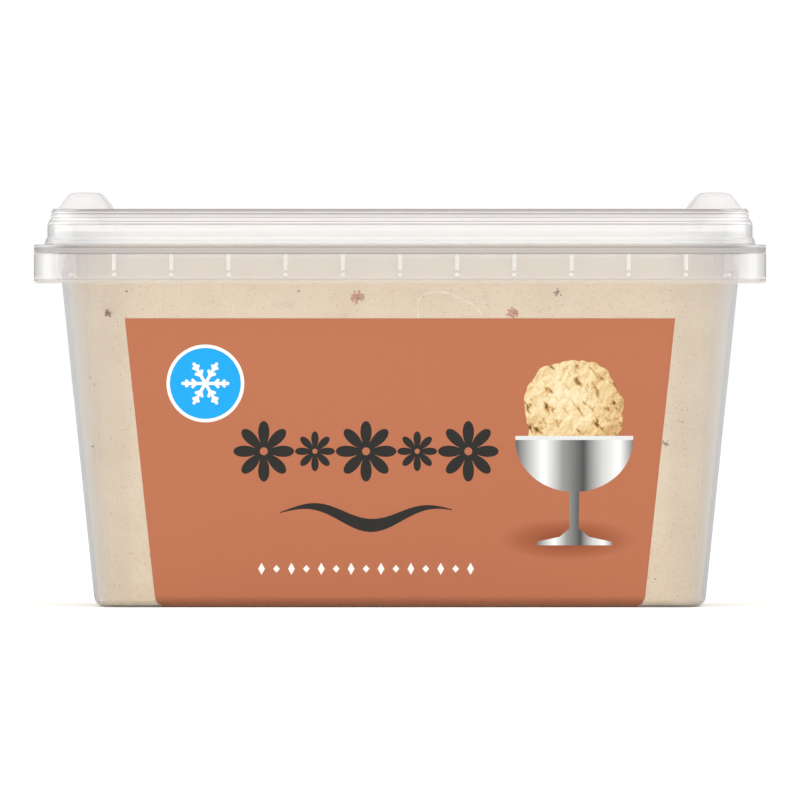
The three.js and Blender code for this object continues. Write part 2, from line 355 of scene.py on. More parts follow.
def makeTubShell():
    form = tubForm
    out = skirtOffset
    inner = out - form["skirtThickness"]
    rimOuter = wallOffset(flangeTop) + 0.2
    bead = rimOuter + form["rimBead"]
    floorZ = form["baseRecess"] + form["wall"]
    corners = [(middleOffset, form["baseRecess"], 0)]
    corners += [(offset, z, radius or 0.4) for offset, z, radius in bodyCorners()]
    corners += [
        (wallOffset(flangeUnder), flangeUnder, 0.9), (inner, flangeUnder, 0.4), (inner, lipTop, 0.15),
        (inner + 0.2, skirtBottom, 0.12), (out - 0.35, skirtBottom, 0.2), (out, skirtBottom + 0.45, 0.4),
        # fine grooves above the lip, under the ledge and near its top
        (out, lipTop - 0.12, 0.03), (out - 0.1, lipTop, 0.05), (out, lipTop + 0.12, 0.03),
        (out, flangeUnder - 0.35, 0), (out - 0.1, flangeUnder - 0.2, 0.1), (out, flangeUnder - 0.05, 0.05),
        (out, flangeTop - 0.62, 0.05), (out - 0.12, flangeTop - 0.48, 0.1), (out, flangeTop - 0.34, 0.05),
        (out, flangeTop, 0.2), (rimOuter, flangeTop, 0.3), (rimOuter, rimTop - 1.9, 0.2),
        (bead, rimTop - 1.4, 0.3), (bead, rimTop - 0.4, 0.3), (rimOuter, rimTop, 0.3),
        (wallOffset(rimTop, form["wall"]), rimTop, 0.4), (wallOffset(floorZ, form["wall"]), floorZ, 1.6),
        (middleOffset, floorZ, 0),
    ]
    return sweepProfile(roundCorners(corners))


labelForm = {
    "thickness": 0.3,
    "sink": 0.1,            # the film lies this far below the tub's face
    "seam": 0.02,
    "topHalfWidth": labelHigh.x,
    "baseHalfWidth": 54.0,
    "top": labelHigh.z,
    "tuck": 0.9,            # it narrows where it turns under the base
}


def labelBand(near, far, grow):
    # one U-shaped band between two depths: down the front, under the base and up the back
    top = labelForm["top"] + grow

    def halfPath(inset):
        path = roundCorners(bodyCorners(inset) + [(wallOffset(top, inset), top, 0)], 10)
        return [(-baseHalfWidth - offset, z) for offset, z in reversed(path)]

    outer, inner = halfPath(near), halfPath(far)
    outer += [(-y, z) for y, z in reversed(outer)]
    inner += [(-y, z) for y, z in reversed(inner)]
    spread = (labelForm["topHalfWidth"] - labelForm["baseHalfWidth"]) / labelForm["top"]
    bm = bmesh.new()
    rings = []
    for (yOut, zOut), (yIn, zIn) in zip(outer, inner):
        tuck = labelForm["tuck"] * max(0, 1 - zOut / 2.8) ** 2
        halfOut = labelForm["baseHalfWidth"] + spread * zOut + grow - tuck
        halfIn = labelForm["baseHalfWidth"] + spread * zIn + grow - tuck
        rings.append([(-halfOut, yOut, zOut), (halfOut, yOut, zOut),
                      (halfIn, yIn, zIn), (-halfIn, yIn, zIn)])
    loftRings(bm, rings)
    return bm


tubLooks = ["cornerWall", "skirt", "ledge", "groove", "softGroove", "lip", "foot", "flatWall"]


def tubLook(centre):
    # the plastic that a face shows, from its height and how far out it lies
    reach, z = outwardReach(centre), centre.z
    onFace = reach > skirtOffset - 0.5
    onSkirt = reach > skirtOffset - 1.3
    halfGroove = 0.13
    # grooves take plastic with painted shade
    if onFace and min(abs(z - groove) for groove in (flangeTop - 0.48, flangeUnder - 0.2)) < halfGroove:
        return "groove"
    if onFace and (z > flangeTop - 0.34 or abs(z - lipTop) < halfGroove):
        return "softGroove"
    if reach > skirtOffset - 0.7 and z > flangeUnder - 0.36:
        return "ledge"
    if onSkirt and z < lipTop:
        return "lip"
    if z < 1.4 and reach > -4:
        return "foot"
    if onSkirt and z < flangeUnder + 0.1:
        return "skirt"
    return "flatWall" if abs(centre.x) < cornerX or abs(centre.y) < cornerY else "cornerWall"


def makeTub():
    shell = looseObject("tubShell", makeTubShell())
    depth = labelForm["sink"] + labelForm["thickness"] + labelForm["seam"]
    combine(shell, looseObject("recess", labelBand(-1.0, depth, labelForm["seam"])), "DIFFERENCE")
    bm = takeBmesh(shell)
    for face in bm.faces:
        face.material_index = tubLooks.index(tubLook(face.calc_center_median()))
    return addPiece("tub_body", bm, [plastics[look] for look in tubLooks], "tub")


tub = makeTub()
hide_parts("tub")
print("tub moulded:", len(tub.data.polygons), "faces")


# Ribs between wall and skirt, square to the sides and one leaning at each corner
ribForm = {
    "thickness": 0.9,
    "pitch": 12.62,
    "longSide": 11,
    "shortSide": 5,
    "cornerAngle": 38,
    "top": 79.4,                # a little way up inside the milky ledge
    "under": 74.3,
    "foot": 72.9,
    "footTop": 73.9,
    "footDepth": 1.6,
    "clear": 0.04,
}


def curvedAway(along, straight, radius):
    beyond = max(0.0, abs(along) - straight)
    return radius - sqrt(radius * radius - beyond * beyond)


def addRib(bm, origin, angle, wallAt, skirtAt):
    form = ribForm
    clear = form["clear"]
    skirtFace = skirtAt + skirtOffset - tubForm["skirtThickness"] - clear
    top, under, low, footTop = ((wallAt + wallOffset(form[level]) + clear, form[level])
                                for level in ("top", "under", "foot", "footTop"))
    web = [top, under, (skirtFace - 0.5, form["under"]), (skirtFace - 0.15, form["under"] + 0.1),
           (skirtFace, form["under"] + 0.4), (skirtFace, form["top"])]
    footFront = wallAt + wallOffset(form["foot"]) + form["footDepth"]
    foot = [low, (footFront - 0.9, form["foot"]), (footFront, form["foot"] + 0.25),
            (footFront, form["footTop"] - 0.12), (footFront - 0.12, form["footTop"]), footTop]
    turn = Matrix.Translation((origin[0], origin[1], 0)) @ Matrix.Rotation(angle, 4, "Z")
    half = form["thickness"] / 2
    for side in (web, foot):
        rings = [[turn @ Vector((out, across, z)) for out, z in side] for across in (-half, half)]
        before = len(bm.faces)
        loftRings(bm, rings)
        bm.faces.ensure_lookup_table()
        for face in bm.faces[before:]:
            face.material_index = 1 if len(face.verts) > 4 and side is web else 0


def makeRibs():
    form = ribForm
    bm = bmesh.new()
    wallRadius = tubForm["baseCornerRadius"] + wallOffset(form["foot"])
    skirtRadius = tubForm["baseCornerRadius"] + skirtOffset
    for side in (-1, 1):
        for i in range(form["longSide"]):
            x = (i - (form["longSide"] - 1) / 2) * form["pitch"]
            addRib(bm, (x, 0), side * pi / 2,
                   baseHalfWidth - curvedAway(x, cornerX, wallRadius),
                   baseHalfWidth - curvedAway(x, cornerX, skirtRadius))
        for i in range(form["shortSide"]):
            y = (i - (form["shortSide"] - 1) / 2) * form["pitch"]
            addRib(bm, (0, y), 0 if side > 0 else pi, baseHalfLength, baseHalfLength)
        for end in (-1, 1):
            lean = radians(form["cornerAngle"])
            angle = side * lean if end > 0 else side * (pi - lean)
            radius = tubForm["baseCornerRadius"]
            addRib(bm, (end * cornerX, side * cornerY), angle, radius, radius)
    return addPiece("tub_ribs", bm, [plastics["rib"], plastics["ribSide"]], "tub", sharpAngle=20)


makeRibs()
print("ribs set")


# Lid: outer wall with two steps and a bead, a rim, a sunk panel and four stacking lugs
lidForm = {
    "wall": 0.8,
    "standOff": 10.5,       # outer wall beyond the base outline
    "panelTop": 84.6,
    "panelStep": 0.5,
    "panelEdge": -4,        # where the panel steps down, inside the base outline
    "rimTop": 88.1,
    "lugX": 69.7,
    "lugY": 38.4,
    "lugRadius": 5.7,
    "lugTopRadius": 2.9,
    "grooves": (3.5, 2.8, 1.96, 1.12, 0.25, 0.64),     # below the rim's top, round the outer wall
    "grooveReach": (0.10, 0.12, 0.07, 0.13, 0.30, 0.09),
    "darkGrooves": (1.12, 0.25),
}


def makeLidShell():
    form = lidForm
    out, top, wall = form["standOff"], form["rimTop"], form["wall"]
    panel, step, edge = form["panelTop"], form["panelStep"], form["panelEdge"]
    under = panel - wall
    foot = flangeTop + 0.04
    corners = [
        (middleOffset, under - step, 0), (edge - step, under - step, 0.4), (edge, under, 0.4),
        (out - 5.3, under, 0.7), (out - 4.0, top - wall, 0.5), (out - 1.75, top - wall, 0.4),
        (out - 1.6, top - 2.6, 0.6), (out - wall, top - 3.5, 0.4), (out - wall + 0.05, foot + 1.9, 0.5),
        (out - 0.15, foot + 0.9, 0.3), (out - 0.15, foot, 0.15), (out + 0.6, foot, 0.15),
        (out + 0.65, foot + 0.45, 0.2), (out + 0.45, foot + 0.75, 0.1), (out + 0.4, foot + 1.1, 0.3),
        (out, foot + 1.7, 0.4),
    ]
    # the outer wall's steps and fine grooves: inwards, below the rim's top, and radius
    for inwards, below, radius in [
            (0, 3.65, 0.04), (0.08, 3.5, 0.05), (0.02, 3.34, 0.04), (0.06, 3.1, 0.15),
            (0.24, 2.92, 0.04), (0.38, 2.8, 0.05), (0.4, 2.62, 0.04), (0.82, 2.15, 0.15),
            (0.84, 2.04, 0.04), (0.94, 1.96, 0.05), (0.86, 1.86, 0.04), (0.86, 1.24, 0.04),
            (0.98, 1.12, 0.05), (0.88, 0.98, 0.04), (0.9, 0.74, 0), (0.9, 0.55, 0.1),
            (1.05, 0.4, 0.04), (1.3, 0, 0.3), (4.4, 0, 0.6)]:
        corners.append((out - inwards, top - below, radius))
    corners += [(out - 5.9, panel, 0.7), (edge, panel, 0.4), (edge - step, panel - step, 0.4),
                (middleOffset, panel - step, 0)]
    return sweepProfile(roundCorners(corners))


def lugSolid(x, y, inset):
    form = lidForm
    rise = lidHigh.z - form["rimTop"]
    foot = form["panelTop"] - form["wall"] - 0.4 - inset
    spread = form["lugRadius"] - form["lugTopRadius"]
    steps = 48
    sideView = [(form["lugRadius"] - 1.2, foot), (form["lugRadius"] - 0.6, form["rimTop"] - 0.6),
                (form["lugRadius"] + 0.02, form["rimTop"] + 0.05)]
    # the rounded top: shares of the spread outwards and of the rise
    for share, height in ((0.88, 0.18), (0.7, 0.38), (0.48, 0.6), (0.28, 0.79), (0.12, 0.9), (-0.1, 0.965)):
        sideView.append((form["lugTopRadius"] + spread * share, form["rimTop"] + rise * height))
    sideView.append((form["lugTopRadius"] * 0.45, form["rimTop"] + rise * 0.99))
    rings = []
    for radius, z in sideView:
        drop = inset if z > form["rimTop"] + 0.5 * rise else 0.5 * inset
        rings.append([(x + (radius - inset) * cos(i / steps * tau),
                       y + (radius - inset) * sin(i / steps * tau), z - drop) for i in range(steps)])
    bm = bmesh.new()
    loftRings(bm, rings)
    return bm


def facesOut(face, centre):
    # away from the middle of the tub
    away = Vector((max(abs(centre.x) - cornerX, 0) * copysign(1, centre.x),
                   max(abs(centre.y) - cornerY, 0) * copysign(1, centre.y), 0))
    return away.length > 0 and face.normal.dot(away.normalized()) > 0.2


lidLooks = ["lid", "lidRidge", "groove", "lidInside", "softGroove", "lug", "lidPanel"]


def lidLook(face):
    form = lidForm
    centre = face.calc_center_median()
    reach = outwardReach(centre)
    below = form["rimTop"] - centre.z
    outwards = facesOut(face, centre)
    outer = reach > form["standOff"] - 1.45 and outwards
    inGroove = [z for z, half in zip(form["grooves"], form["grooveReach"]) if abs(below - z) < half]
    if below < -0.05:
        return "lug"
    # grooves take plastic with painted shade, darkest in the dark grooves
    if outer and inGroove:
        return "groove" if inGroove[0] in form["darkGrooves"] else "softGroove"
    if outer and 0.0 < below < 3.7:
        return "lidRidge"
    if reach < form["standOff"] - 5 and abs(face.normal.z) > 0.7:
        return "lidPanel"
    inside = face.normal.z < -0.3 or reach > 0 and not outwards and face.normal.z < 0.3
    return "lidInside" if inside else "lid"


def makeLid():
    shell = looseObject("lidShell", makeLidShell())
    places = [(sx * lidForm["lugX"], sy * lidForm["lugY"]) for sx in (1, -1) for sy in (1, -1)]
    for x, y in places:
        combine(shell, looseObject("lug", lugSolid(x, y, 0)), "UNION")
    for x, y in places:
        combine(shell, looseObject("lugHollow", lugSolid(x, y, lidForm["wall"])), "DIFFERENCE")
    bm = takeBmesh(shell)
    bmesh.ops.recalc_face_normals(bm, faces=bm.faces)
    for face in bm.faces:
        face.material_index = lidLooks.index(lidLook(face))
    return addPiece("lid_shell", bm, [plastics[look] for look in lidLooks], "lid")


lid = makeLid()
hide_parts("lid")
print("lid moulded:", len(lid.data.polygons), "faces")


# Ice cream: churned and frozen, a pale beige mass with fine spice specks. It reaches just into the wall.
iceForm = {
    "intoWall": 0.12,
    "edgeLevel": 79.4,
    "edgeDip": 0.7,        # where the wall holds the edge down
    "footLevel": 0.3,      # how far down it reaches in the foot ring
    "topRings": 46,
    "waveHeight": 0.9,
    "fineHeight": 0.25,
}
iceEdge = iceForm["edgeLevel"] - iceForm["edgeDip"]


def iceSurface(x, y, inward):
    settle = min(inward / 8, 1)
    swirl = sin(x / 9 + 1.6 * sin(y / 13)) * cos(y / 11 + 0.6 * sin(x / 21))
    fine = noise.noise(Vector((x / 3.1, y / 3.1, 4.2))) + 0.5 * noise.noise(Vector((x / 1.2, y / 1.2, 1.7)))
    level = iceEdge + settle * (0.6 + iceForm["waveHeight"] * swirl)
    return min(level + settle * iceForm["fineHeight"] * fine, iceHigh.z)


def makeIceCream():
    inset = tubForm["wall"] - iceForm["intoWall"]
    floorZ = tubForm["baseRecess"] + inset
    low = iceForm["footLevel"]
    corners = [(middleOffset, floorZ, 0), (footInner - 0.4, floorZ, 0.3), (footInner + 0.6, low, 0.2),
               (wallOffset(low, inset), low, 1.8), (wallOffset(iceEdge, inset), iceEdge, 0)]
    rings = [[(x, y, z) for x, y in outline(offset)] for offset, z in roundCorners(corners, 6)]
    rim = outline(wallOffset(iceEdge, inset))
    reach = min(max(y for x, y in rim), max(x for x, y in rim))
    for i in range(1, iceForm["topRings"] + 1):
        inward = reach * 0.985 * i / iceForm["topRings"]
        ring = []
        for x, y in rim:
            px = x * (1 - inward / baseHalfLength * 0.55)
            py = y * (1 - inward / reach)
            ring.append((px, py, iceSurface(px, py, inward)))
        rings.append(ring)
    bm = bmesh.new()
    loftRings(bm, rings)
    bm.normal_update()
    for face in bm.faces:
        onTop = face.calc_center_median().z > iceEdge - iceForm["waveHeight"] and abs(face.normal.z) > 0.5
        face.material_index = int(onTop)
    return bm


def frozenCream(name, look):
    material, add = newMaterial(name)
    place = add("TexCoord").outputs["Object"]
    clouds = add("TexNoise", {
        "Scale": perMetre(look["cloudSize"]), "Detail": 3.0, "Roughness": 0.6, "Vector": place})
    base = add("ValToRGB", {
        "Fac": clouds, "stops": {0.30: look["shade"], 0.55: look["cream"], 0.75: look["light"]}})
    # air and ice pockets, a little greyer, a few millimetres across
    pockets = add("TexNoise", {"Scale": perMetre(look["pocketSize"]), "Detail": 2.0, "Vector": place})
    pocketMask = add("MapRange", {"From Min": 0.66, "From Max": 0.78, "To Max": 0.55, "Value": pockets})
    withPockets = add("Mix", {
        "data_type": "RGBA", "B": linearColour(look["pocket"]), "Factor": pocketMask, "A": base})
    spiced = withPockets.outputs["Result"]
    turned = add("Mapping", {"Rotation": (0.6, 0.45, 0.35), "Vector": place})
    for kind in look["specks"]:
        # ground spice: one speck in some of the cells, drawn as wide as it needs to show
        cells = add("TexVoronoi", {"Scale": perMetre(kind["pitch"]), "Vector": turned})
        near = add("MapRange", {
            "From Min": kind["reach"], "From Max": 0.6 * kind["reach"], "Value": cells})
        pick = add("SeparateColor", {"Color": cells.outputs["Color"]})
        some = add("Math", {"operation": "LESS_THAN", 0: pick, 1: kind["share"]})
        uneven = add("MapRange", {
            "To Min": kind["weakest"], "To Max": kind["strongest"], "Value": pick.outputs["Green"]})
        strength = add("Math", {"operation": "MULTIPLY", 0: uneven, 1: some})
        speck = add("Math", {"operation": "MULTIPLY", "use_clamp": True, 0: near, 1: strength})
        mixed = add("Mix", {
            "data_type": "RGBA", "B": linearColour(kind["colour"]), "Factor": speck, "A": spiced})
        spiced = mixed.outputs["Result"]
    grain = add("TexNoise", {"Scale": perMetre(look["grain"]), "Detail": 2.0, "Vector": place})
    bump = add("Bump", {"Strength": 0.3, "Distance": 0.15 * mm, "Height": grain})
    shader = add("BsdfPrincipled", {
        "Roughness": 0.6, "IOR": 1.35, "Specular IOR Level": 0.3, "Base Color": spiced, "Normal": bump})
    return finishSurface(material, shader)


iceLook = {
    "cream": "#ecd7b8",
    "light": "#efdbbf",
    "shade": "#e7d0af",
    "pocket": "#d2c5ae",
    "cloudSize": 9,
    "pocketSize": 5,
    "specks": [
        {"colour": "#d4843a", "pitch": 0.55, "reach": 0.34, "share": 0.6, "weakest": 0.15,
         "strongest": 0.6},
        {"colour": "#9c561e", "pitch": 1.0, "reach": 0.18, "share": 0.4, "weakest": 0.25,
         "strongest": 0.8},
    ],
    "grain": 1.4,
}
# the lid takes some of the light from the top, so the same cream is a little deeper there
topLook = dict(iceLook, cream="#d9c29b", light="#dfcba9", shade="#d1b78d")
iceCream = addPiece("ice_cream_block", makeIceCream(), [frozenCream("churned_ice_cream", iceLook),
                    frozenCream("churned_ice_cream_under_the_lid", topLook)], "ice_cream")
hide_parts("ice_cream")
print("ice cream filled:", len(iceCream.data.polygons), "faces")


# Cinnamon sugar crumbs: brown lumps of a few fused grains, pressed against the wall
crumbForm = {
    "seed": 11,
    "shown": [(-9.4, 68.5, 1.5), (-64.6, 65.1, 1.15), (34.8, 69.6, 1.0), (24.8, 64.9, 1.35),
              (58.6, 36.2, 0.85)],      # across, height and half width
    "small": [(-60.3, 69.9, 0.6), (-22.3, 69.9, 0.55), (-68.5, 50.8, 0.4), (-67.4, 49.2, 0.35),
              (-67.8, 35.6, 0.4), (62.4, 41.0, 0.35), (56.4, 6.2, 0.4)],
    "grains": (56, 16, 7),
    "scattered": 46,
    "baked": {0.36: "#8e460e", 0.48: "#c47430", 0.62: "#dba262"},
    "dark": {0.36: "#6e4030", 0.48: "#8a5a46", 0.62: "#a67a66"},
    "pepper": {0.36: "#4f4338", 0.62: "#7a6a5a"},
}


def onWall(side, along, z, depth):
    # a point on the ice cream's face: side is the compass quarter, depth is outwards
    offset = wallOffset(z, tubForm["wall"] - iceForm["intoWall"]) + depth
    if side in ("front", "back"):
        return Vector((along, (baseHalfWidth + offset) * (-1 if side == "front" else 1), z))
    return Vector(((baseHalfLength + offset) * (-1 if side == "left" else 1), along, z))


def grainShape():
    bm = bmesh.new()
    bmesh.ops.create_icosphere(bm, subdivisions=2, radius=1)
    bm.verts.index_update()
    points = [vert.co.copy() for vert in bm.verts]
    faces = [[vert.index for vert in face.verts] for face in bm.faces]
    bm.free()
    return points, faces


def addCrumb(bm, grain, side, along, z, size, chance):
    points, faces = grain
    index = 1 if side in ("front", "back") else 0
    kind = 0 if size > 1.2 else 1 if size > 0.7 else 2
    for i in range(crumbForm["grains"][kind]):
        angle = chance.uniform(0, tau)
        spread = size * chance.random() ** 0.9
        reach = size * chance.uniform(0.22, 0.44) * (1.15 - 0.6 * spread / size)
        centre = onWall(side, along + spread * cos(angle), z + spread * sin(angle), 0)
        axis = Vector((chance.random(), 0.4, 0.7)).normalized()
        place = (Matrix.Translation(centre) @ Matrix.Rotation(chance.uniform(0, tau), 4, axis)
                 @ Matrix.Diagonal((reach, reach * chance.uniform(0.5, 0.9), reach * 0.6, 1)))
        made = []
        for point in points:
            spot = place @ point
            spot += (spot - centre) * 0.35 * noise.noise(spot * 4)
            front = onWall(side, along, spot.z, 0.05 + 0.004 * i)[index]  # just inside the wall
            spot[index] = copysign(min(abs(spot[index]), abs(front)), front)
            made.append(bm.verts.new(spot))
        for corners in faces:
            bm.faces.new([made[k] for k in corners]).material_index = kind


def makeCrumbs():
    chance = random.Random(crumbForm["seed"])
    grain = grainShape()
    bm = bmesh.new()
    for x, z, size in crumbForm["shown"] + crumbForm["small"]:
        addCrumb(bm, grain, "front", x, z, size, chance)
    for i in range(crumbForm["scattered"]):
        side = ("back", "left", "right")[i % 3]
        z = chance.uniform(5, 77)
        reach = cornerX if side == "back" else cornerY
        along = chance.uniform(-reach, reach)
        addCrumb(bm, grain, side, along, z, chance.choice((0.4, 0.5, 0.9, 1.2)), chance)
    crumbs = addPiece("cinnamon_crumbs", bm, [crumbMaterial("baked_sugar_crumb", crumbForm["baked"]),
                                            crumbMaterial("dark_spice_crumb", crumbForm["dark"]),
                                            crumbMaterial("spice_grain", crumbForm["pepper"])],
                      "ice_cream", sharpAngle=60)
    crumbs.visible_shadow = False  # the grains lie too close to each other to shade one another


def crumbMaterial(name, stops):
    material, add = newMaterial(name)
    place = add("TexCoord").outputs["Object"]
    mottle = add("TexNoise", {"Scale": perMetre(0.8), "Detail": 2.0, "Vector": place})
    colour = add("ValToRGB", {"Fac": mottle, "stops": stops})
    shader = add("BsdfPrincipled", {"Roughness": 0.7, "IOR": 1.5, "Base Color": colour})
    return finishSurface(material, shader)


makeCrumbs()
print("crumbs scattered")


# A fold where two spoonfuls met, drawn as a thin pale ridge of cream against the wall
foldForm = {
    "points": [(4.0, 62.9), (4.0, 67.2), (5.1, 69.0), (7.8, 69.7), (10.7, 69.4), (13.1, 68.3), (15.4, 67.3),
               (17.6, 65.4), (18.1, 62.9)],
    "halfWidth": 0.16,
    "steps": 8,
}


def smoothPath(points, steps):
    # a curve through every point
    path = []
    for i in range(len(points) - 1):
        p0, p1, p2, p3 = (Vector(points[max(0, min(k, len(points) - 1))]) for k in range(i - 1, i + 3))
        for k in range(steps):
            t = k / steps
            path.append(0.5 * (2 * p1 + (p2 - p0) * t + (2 * p0 - 5 * p1 + 4 * p2 - p3) * t * t
                               + (3 * p1 - p0 - 3 * p2 + p3) * t ** 3))
    return path + [Vector(points[-1])]


def makeFold():
    path = smoothPath(foldForm["points"], foldForm["steps"])
    rings = []
    for i, here in enumerate(path):
        ahead = path[min(i + 1, len(path) - 1)] - path[max(i - 1, 0)]
        half = foldForm["halfWidth"] * (0.7 + 0.3 * sin(i * 0.7)) * min(1, (i + 1) / 4)
        aside = Vector((-ahead.y, ahead.x)).normalized() * half
        left, right = here - aside, here + aside
        section = ((left, -0.2), (left, 0.02), (here, 0.06), (right, 0.02), (right, -0.2))
        rings.append([onWall("front", spot.x, spot.y, depth) for spot, depth in section])
    bm = bmesh.new()
    loftRings(bm, rings)
    material, add = newMaterial("smeared_cream")
    place = add("TexCoord").outputs["Object"]
    streaks = add("TexNoise", {"Scale": perMetre(2.5), "Vector": place})
    tone = add("ValToRGB", {"Fac": streaks, "stops": {0.35: "#f3e4d0", 0.65: "#faf0e2"}})
    shader = add("BsdfPrincipled", {
        "Roughness": 0.5, "IOR": 1.35, "Specular IOR Level": 0.3, "Base Color": tone})
    return addPiece("ice_cream_fold", bm, [finishSurface(material, shader)], "ice_cream", 50)


makeFold()
print("fold drawn")


# Label: printed polypropylene film moulded into the wall, satin, one terracotta ink all over
def printedFilm(name, look):
    material, add = newMaterial(name)
    place = add("TexCoord").outputs["Object"]
    peel = add("TexNoise", {"Scale": perMetre(look["peel"]), "Detail": 1.0, "Vector": place})
    bump = add("Bump", {"Strength": 0.06, "Distance": 0.1 * mm, "Height": peel})
    drift = add("TexNoise", {"Scale": perMetre(55), "Detail": 0.0, "Vector": place})
    colour = add("ValToRGB", {"Fac": drift, "stops": {0.3: look["deep"], 0.7: look["ink"]}})
    # painted shade: the film is drawn darker where it turns under the base, standing in for its own shadow
    # there
    height = add("SeparateXYZ", {"Vector": place})
    turned = add("MapRange", {
        "From Min": 2.6 * mm, "From Max": 0.6 * mm, "To Max": 0.8, "Value": height.outputs["Z"]})
    shaded = add("Mix", {
        "data_type": "RGBA", "B": linearColour(look["turn"]), "Factor": turned, "A": colour})
    shader = add("BsdfPrincipled", {
        "Roughness": look["roughness"], "IOR": 1.49, "Specular IOR Level": look["gloss"],
        "Base Color": shaded.outputs["Result"], "Normal": bump})
    return finishSurface(material, shader)


# turn is the colour of the painted shade where the film turns under the base
labelLook = {"ink": "#b46c4b", "deep": "#b56d4b", "turn": "#7d4a33", "peel": 1.8, "roughness": 0.42,
             "gloss": 0.25}
terracotta = printedFilm("in_mould_label_film", labelLook)
film = labelBand(labelForm["sink"], labelForm["sink"] + labelForm["thickness"], 0.0)
label = addPiece("label_film", film, [terracotta], "label", sharpAngle=50)
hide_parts("label")
print("label laid")


# Print on the label's front: flat fields of ink. Points are (across, height) in mm, seen from the front.
def printedShape(name, outlines, material, layer):
    curve = bpy.data.curves.new(name, "CURVE")
    curve.dimensions = "2D"
    curve.fill_mode = "BOTH"
    curve.extrude = 0.01
    for points in outlines:
        spline = curve.splines.new("POLY")
        spline.points.add(len(points) - 1)
        for target, (across, height) in zip(spline.points, points):
            target.co = (across, height, 0, 1)
        spline.use_cyclic_u = True
    flat = addObject(name + "_flat", curve)
    made = bpy.data.meshes.new_from_object(flat.evaluated_get(bpy.context.evaluated_depsgraph_get()))
    bpy.data.objects.remove(flat)
    bm = bmesh.new()
    bm.from_mesh(made)
    bmesh.ops.remove_doubles(bm, verts=bm.verts, dist=1e-4)
    lift = 0.012 + 0.022 * layer
    for vert in bm.verts:
        x, z, out = vert.co
        vert.co = (x, -baseHalfWidth - wallOffset(z, labelForm["sink"]) - lift - out, z)
    return addPiece(name, bm, [material], "label", sharpAngle=20)


def flatInk(name, hexCode, roughness=0.42):
    material, add = newMaterial(name)
    place = add("TexCoord").outputs["Object"]
    grain = add("TexNoise", {"Scale": perMetre(1.6), "Detail": 1.0, "Vector": place})
    rough = add("MapRange", {"To Min": roughness - 0.05, "To Max": roughness + 0.05, "Value": grain})
    shader = add("BsdfPrincipled", {
        "Base Color": linearColour(hexCode), "IOR": 1.49, "Specular IOR Level": 0.3, "Roughness": rough})
    return finishSurface(material, shader)


def pointAround(centre, reach, angle):
    return centre[0] + reach * cos(angle), centre[1] + reach * sin(angle)


def circlePoints(centre, radius, steps=72, squash=1.0):
    return [(centre[0] + radius * cos(i / steps * tau),
             centre[1] + radius * squash * sin(i / steps * tau)) for i in range(steps)]


badgeForm = {"centre": (-43.0, 49.5), "radius": 8.6, "ring": 0.75}


def snowflakePoints(centre, radius):
    # one half arm as (along, across) shares of the radius, mirrored and turned six times
    halfArm = [(0.12, 0.065), (0.36, 0.065), (0.52, 0.215), (0.60, 0.135), (0.53, 0.065), (0.66, 0.065),
               (0.78, 0.185), (0.86, 0.105), (0.82, 0.065), (0.97, 0.065)]
    points = []
    for arm in range(6):
        turn = arm * tau / 6
        sides = [(a, -c) for a, c in halfArm] + [(1.0, 0.0)] + [(a, c) for a, c in reversed(halfArm)]
        for along, across in sides:
            reach = radius * hypot(along, across)
            points.append(pointAround(centre, reach, turn + atan2(across, along)))
    return points


def makeBadge(blue, white):
    centre, radius = badgeForm["centre"], badgeForm["radius"]
    printedShape("print_badge_rim", [circlePoints(centre, radius)], white, 0)
    printedShape("print_badge_disc", [circlePoints(centre, radius - badgeForm["ring"])], blue, 1)
    printedShape("print_badge_flake", [snowflakePoints(centre, radius * 0.62)], white, 2)


starForm = {"height": 34.5, "pitch": 11.3, "count": 5, "middle": -7.5, "large": 6.7, "small": 4.4}


def starPoints(centre, radius, petals=8, steps=160):
    points = []
    for i in range(steps):
        angle = i / steps * tau
        petal = abs(cos(petals * angle / 2)) ** 0.75
        points.append(pointAround(centre, radius * (0.30 + 0.70 * petal), angle))
    return points


def makeStarRow(black):
    form = starForm
    outlines = []
    for i in range(form["count"]):
        x = form["middle"] + (i - (form["count"] - 1) / 2) * form["pitch"]
        radius = form["large"] if i % 2 == 0 else form["small"]
        outlines.append(starPoints((x, form["height"]), radius))
        outlines.append(circlePoints((x, form["height"]), radius * 0.13, 20))
    printedShape("print_star_row", outlines, black, 0)


flourishForm = {"halfLength": 19.0, "height": 20.5, "wave": 2.4, "thin": 0.12, "swell": 1.35, "steps": 90}


def makeFlourish(black):
    # a brush stroke that swells in the middle and waves once
    form = flourishForm
    upper, lower = [], []
    for i in range(form["steps"] + 1):
        t = i / form["steps"]
        x = starForm["middle"] + form["halfLength"] * (2 * t - 1)
        rise = sin(pi * t)
        z = form["height"] + form["wave"] * sin(2.6 * pi * t + 0.35) * (0.55 + 0.45 * rise)
        thick = form["thin"] + form["swell"] * rise ** 1.4
        upper.append((x, z + thick))
        lower.append((x, z - thick))
    printedShape("print_flourish", [upper + lower[::-1]], black, 0)


diamondForm = {"count": 15, "pitch": 3.3, "height": 8.5, "halfWidth": 0.75, "tall": 1.35, "short": 0.85}


def makeDiamondRow(white):
    form = diamondForm
    outlines = []
    for i in range(form["count"]):
        x, z = starForm["middle"] + (i - (form["count"] - 1) / 2) * form["pitch"], form["height"]
        half, rise = form["halfWidth"], form["tall"] if i % 2 == 0 else form["short"]
        outlines.append([(x - half, z), (x, z - rise), (x + half, z), (x, z + rise)])
    printedShape("print_diamond_row", outlines, white, 0)


# Picture of a served scoop: pale ball in a small steel dish, with its soft shadow on the terracotta
pictureForm = {"ball": (38.5, 43.5), "ballRadius": 11.2, "dishHalf": 13.0, "dishTop": 37.0,
               "dishDepth": 11.5, "lipHeight": 0.9, "foot": 14.0, "footHalf": 8.6, "shadowHalf": 16.5,
               "shadowReach": 5.0}


